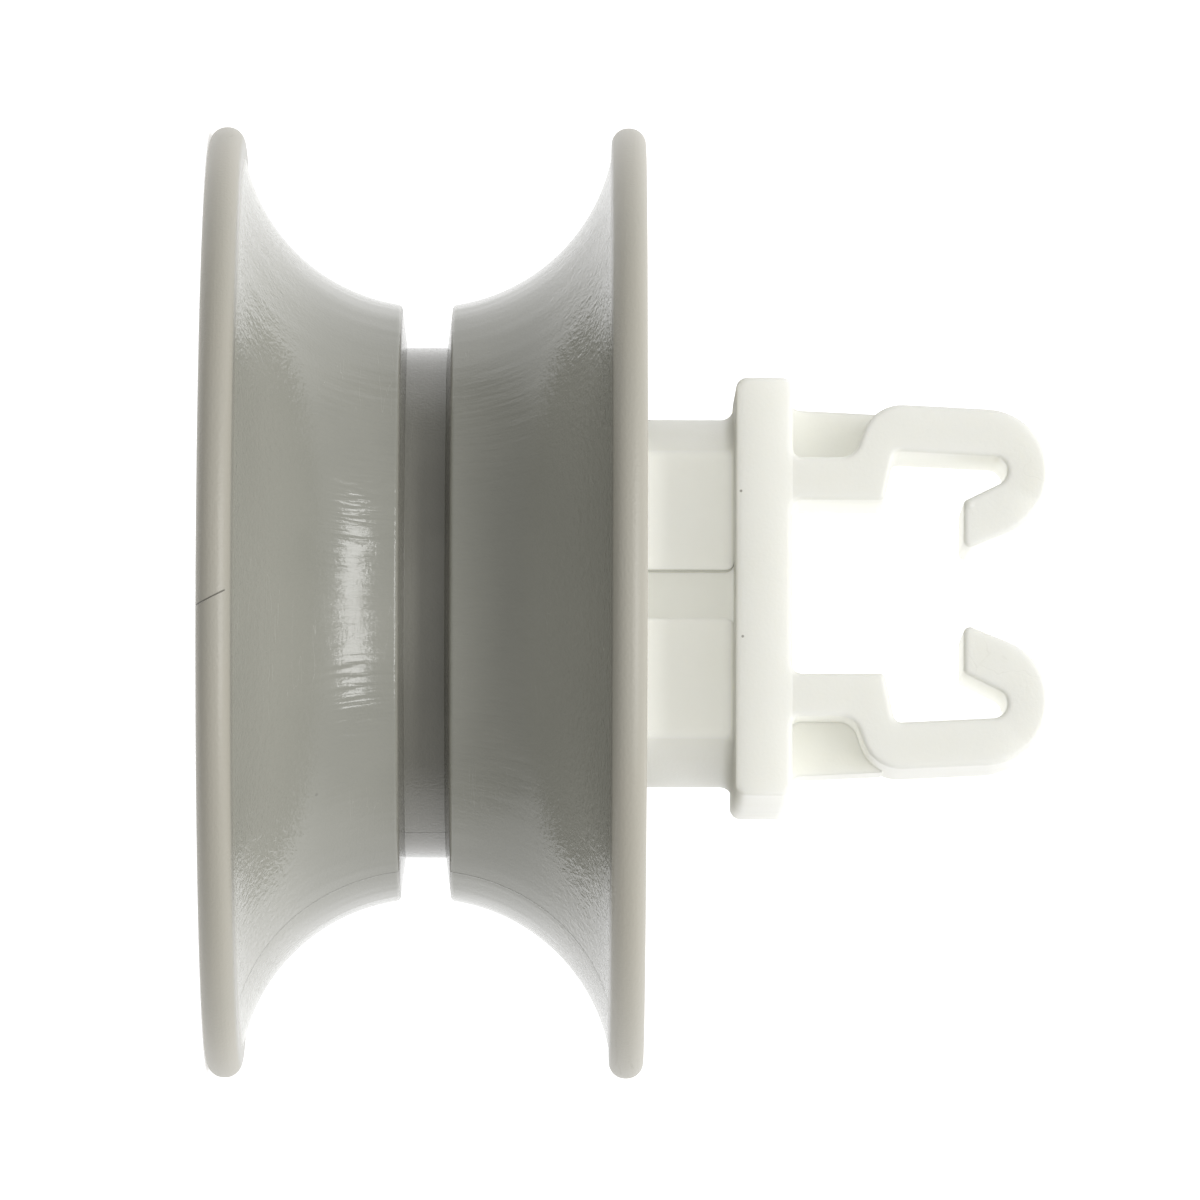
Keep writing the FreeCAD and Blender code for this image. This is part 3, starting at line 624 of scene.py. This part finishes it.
class ClipLook(PlasticLook, bpy.types.PropertyGroup):
    """Sizes and colours of the white clip's finish and its painted glow."""

    colour: tint("Colour", "Fresh milky plastic", (0.80, 0.80, 0.75))
    warm_colour: tint("Warm colour", "Slightly yellowed plastic", (0.775, 0.77, 0.70))
    line_colour: tint("Line colour", "Parting line and rub marks", (0.62, 0.61, 0.54))
    dirt_colour: tint("Dirt colour", "Specks in the plastic", (0.2, 0.18, 0.14))
    edge_radius: length("Edge radius", "Softening of the edges left sharp by the mould", 0.22)
    depth_weight: share("Depth weight", "Share of light that enters the plastic", 0.4)
    # The glow is painted light: emission of the plastic's colour on the neck's front and in the hollows,
    # standing in for light carried through the milky plastic.
    painted_glow: share("Glow", "Light carried into the hollows", 0.6)
    neck_painted_glow: share("Neck glow", "Share of the glow on the front of the neck", 0.7)
    hollow_painted_glow: share("Hollow glow", "Share of the glow in the other hollows", 0.35)
    # Reach of the occlusion node that decides where the painted glow goes in the hollows.
    painted_glow_reach: length("Glow reach", "How far the plastic carries light into its hollows", 8.0)
    cloud_gloss: share("Cloud gloss", "Variation of the roughness from cloud to cloud", 0.12)
    rub_gloss: share("Rub gloss", "How much smoother the wire's seat is", 0.08)
    hair_matt: share("Hair roughness", "How much rougher the fine rub marks are", 0.1)
    axle_gloss: share("Axle gloss", "How much smoother the axle is", 0.06)
    flow_shade: share("Flow shade", "Strength of the flow streaks", 0.25)
    parting_shade: share("Parting shade", "Strength of the parting line's colour", 0.4)
    hair_shade: share("Hair shade", "Strength of the rub marks' colour", 0.15)
    speck_shade: share("Speck shade", "Darkness of the moulded specks", 0.7)
    grit_shade: share("Grit shade", "Darkness of the fine dirt", 0.2)
    grit_share: share("Grit share", "Share of places that hold a dirt dot", 0.06)
    grit_pitch: length("Grit pitch", "Distance between places of dirt dots", 1.9)
    cloud_pitch: length("Cloud pitch", "Distance between the soft clouds of colour", 4.5)
    peel_pitch: length("Peel pitch", "Distance between the skin's soft waves", 0.9)
    peel_height: length("Peel height", "Height of the skin's soft waves", 0.006)
    line_height: length("Line height", "Height of the parting line", 0.03)
    hair_depth: length("Hair depth", "Depth of the rub marks", 0.002)
    collar_base: length("Collar base", "Height of the collar's face toward the roller", 20.92)
    collar_thickness: length("Collar thickness", "Thickness of the square collar", 2.24)
    crown: share("Crown", "How strongly the collar's face is shaded as crowned", 0.09)
    parting_plane: length("Parting plane", "Parting plane in front of the axis", 0.9)


class StudioLook(bpy.types.PropertyGroup):
    """Camera, floor and light."""

    distance: length("Distance", "Camera to the roller's axis", 480.0)
    lens: bpy.props.FloatProperty(
        name="Lens", description="Focal length on a 36 mm sensor", default=360.0, unit="CAMERA")
    azimuth: turning("Azimuth", "Turn of the camera about the axis toward +X", 4.6)
    roll: turning("Roll", "Tilt of the camera about its view", 0.18)
    eye_height: length("Eye height", "Camera above the floor", 14.08)
    aim_height: length("Aim height", "Middle of the picture above the floor", 15.62)
    eye_side: length("Eye offset", "Middle of the picture beside the axis", 0.14)
    floor_size: length("Floor", "Side of the square floor", 4000.0)
    floor_colour: tint("Floor colour", "Pale matt floor", (0.86, 0.86, 0.86))
    floor_glow: amount("Floor glow", "Light of the floor's own", 0.45)
    key_angle: turning("Key angle", "Key light above the camera's view direction", 41.0)
    key_distance: length("Key distance", "Key light to the part", 500.0)
    key_length: length("Key length", "Long side of the key light", 500.0)
    key_width: length("Key width", "Short side of the key light", 130.0)
    key_power: amount("Key power", "Power of the key light in watts", 1.4)
    sky_back: amount("Sky behind", "Brightness behind the part", 1.42)
    sky_high: amount("Sky above", "Brightness above and in front", 0.85)
    sky_low: amount("Sky below", "Brightness below and in front", 0.4)


class RackRollerLook(bpy.types.PropertyGroup):
    """All settings of the look."""

    shape: bpy.props.PointerProperty(type=RollerShape, name="Shape", description="Roller's sizes")
    roller: bpy.props.PointerProperty(type=RollerLook, name="Roller", description="Grey roller")
    clip: bpy.props.PointerProperty(type=ClipLook, name="Clip", description="White wire clip")
    studio: bpy.props.PointerProperty(type=StudioLook, name="Studio", description="Stage")


class RACKROLLER_OT_roller(bpy.types.Operator):
    """Turn and dress the grey roller"""

    bl_idname = "rack_roller.roller"
    bl_label = "Roller"

    def execute(self, context):
        settings = context.scene.rack_roller
        piece = spun_roller(settings.shape, ROLLER_SMOOTH)
        dress(piece, "roller", "wheel", roller_material(settings.roller, settings.shape))
        return {"FINISHED"}


class RACKROLLER_OT_clip(bpy.types.Operator):
    """Dress the white wire clip with its axle"""

    bl_idname = "rack_roller.clip"
    bl_label = "Wire clip"

    def execute(self, context):
        look = context.scene.rack_roller.clip
        piece = smooth_copy(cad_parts["axle_clip"], "wire_clip", CLIP_SMOOTH)
        dress(piece, "axle_clip", "clip", clip_material(look))
        return {"FINISHED"}


class RACKROLLER_OT_studio(bpy.types.Operator):
    """Set up the floor, the light and the camera"""

    bl_idname = "rack_roller.studio"
    bl_label = "Studio"

    def execute(self, context):
        look = context.scene.rack_roller.studio
        add_floor(look)
        add_sky(look)
        add_key(look)
        add_camera(look)
        context.scene.view_settings.view_transform = "Standard"
        return {"FINISHED"}


class RACKROLLER_PT_panel(bpy.types.Panel):
    """Lists the pieces and the stage"""

    bl_label = "Rack roller"
    bl_space_type = "VIEW_3D"
    bl_region_type = "UI"
    bl_category = "Rack roller"

    def draw(self, context):
        look = context.scene.rack_roller
        pieces = ((RACKROLLER_OT_roller, (look.shape, look.roller)),
                  (RACKROLLER_OT_clip, (look.clip,)),
                  (RACKROLLER_OT_studio, (look.studio,)))
        for operator, groups in pieces:
            box = self.layout.box()
            box.operator(operator.bl_idname)
            for group in groups:
                for name in group.bl_rna.properties.keys():
                    if name not in ("rna_type", "name"):
                        box.prop(group, name)


def back_of(look):
    """Direction from the part to the camera."""
    return Vector((math.sin(look.azimuth), -math.cos(look.azimuth), 0.0))


def turned_to(location, target, up):
    """A matrix at a location whose own -Z looks at the target, with its Y near up."""
    back = (location - target).normalized()
    right = up.cross(back).normalized()
    rows = Matrix((right, back.cross(right), back)).transposed().to_4x4()
    return Matrix.Translation(location) @ rows


def linked(name, data):
    """A new object of the scene."""
    made = bpy.data.objects.new(name, data)
    bpy.context.scene.collection.objects.link(made)
    return made


def add_floor(look):
    """A plain pale floor that the part stands on."""
    work = bmesh.new()
    bmesh.ops.create_grid(work, x_segments=1, y_segments=1, size=look.floor_size / 2)
    mesh = bpy.data.meshes.new("floor")
    work.to_mesh(mesh)
    work.free()
    material, nodes = new_material("pale_floor")
    shader = nodes.output("ShaderNodeBsdfPrincipled", None, {
        "Base Color": rgba(look.floor_colour),
        "Roughness": 1.0,
        "Specular IOR Level": 0.0,
        "Emission Color": (1.0, 1.0, 1.0, 1.0),
        "Emission Strength": look.floor_glow,
    })
    nodes.node("ShaderNodeOutputMaterial", None, {"Surface": shader})
    mesh.materials.append(material)
    floor = linked("floor", mesh)
    floor.visible_diffuse = False
    floor.visible_glossy = False


def add_sky(look):
    """White surroundings behind the part, darker in front and darkest below in front."""
    world = bpy.data.worlds.new("studio_sky")
    world.use_nodes = True
    bpy.context.scene.world = world
    nodes = Nodes(world.node_tree)
    facing = nodes.parts(nodes.output("ShaderNodeTexCoord"))
    height = facing[2].over(*SKY_RISE)
    behind = facing[1].over(*SKY_TURN)
    front = height * (look.sky_high - look.sky_low) + look.sky_low
    level = front * (1 - behind) + behind * look.sky_back
    sky = nodes.output("ShaderNodeBackground", None,
                       {"Color": (1.0, 1.0, 1.0, 1.0), "Strength": level})
    nodes.node("ShaderNodeOutputWorld", None, {"Surface": sky})


def add_key(look):
    """A long soft light above the camera, along X."""
    data = bpy.data.lights.new("key_light", "AREA")
    data.shape = "RECTANGLE"
    data.size = look.key_length
    data.size_y = look.key_width
    data.energy = look.key_power
    key = linked("key_light", data)
    target = Vector((0.0, 0.0, look.aim_height))
    way = back_of(look) * math.cos(look.key_angle) + Vector((0, 0, math.sin(look.key_angle)))
    key.matrix_world = turned_to(target + way * look.key_distance, target, Vector((0, 0, 1)))
    key.visible_camera = False


def add_camera(look):
    """The camera of the photograph, turned so that the part's axis lies across the picture."""
    data = bpy.data.cameras.new("photo_camera")
    data.sensor_width = 36.0
    data.lens = look.lens
    camera = linked("photo_camera", data)
    up = Vector((-math.cos(look.azimuth), -math.sin(look.azimuth), 0.0))
    lift = up * look.eye_side
    eye = back_of(look) * look.distance + lift + Vector((0, 0, look.eye_height))
    target = lift + Vector((0, 0, look.aim_height))
    camera.matrix_world = turned_to(eye, target, up) @ Matrix.Rotation(look.roll, 4, "Z")
    bpy.context.scene.camera = camera


CLASSES = (RollerShape, RollerLook, ClipLook, StudioLook, RackRollerLook, RACKROLLER_OT_roller,
           RACKROLLER_OT_clip, RACKROLLER_OT_studio, RACKROLLER_PT_panel)


def register():
    """Make the settings, operators and panel known."""
    for item in CLASSES:
        bpy.utils.register_class(item)
    bpy.types.Scene.rack_roller = bpy.props.PointerProperty(type=RackRollerLook)


def unregister():
    """Remove them again."""
    del bpy.types.Scene.rack_roller
    for item in reversed(CLASSES):
        bpy.utils.unregister_class(item)


def main():
    """Build every piece and the stage."""
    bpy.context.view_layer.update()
    register()
    bpy.ops.rack_roller.roller()
    bpy.ops.rack_roller.clip()
    bpy.ops.rack_roller.studio()


if __name__ == "__main__":
    main()
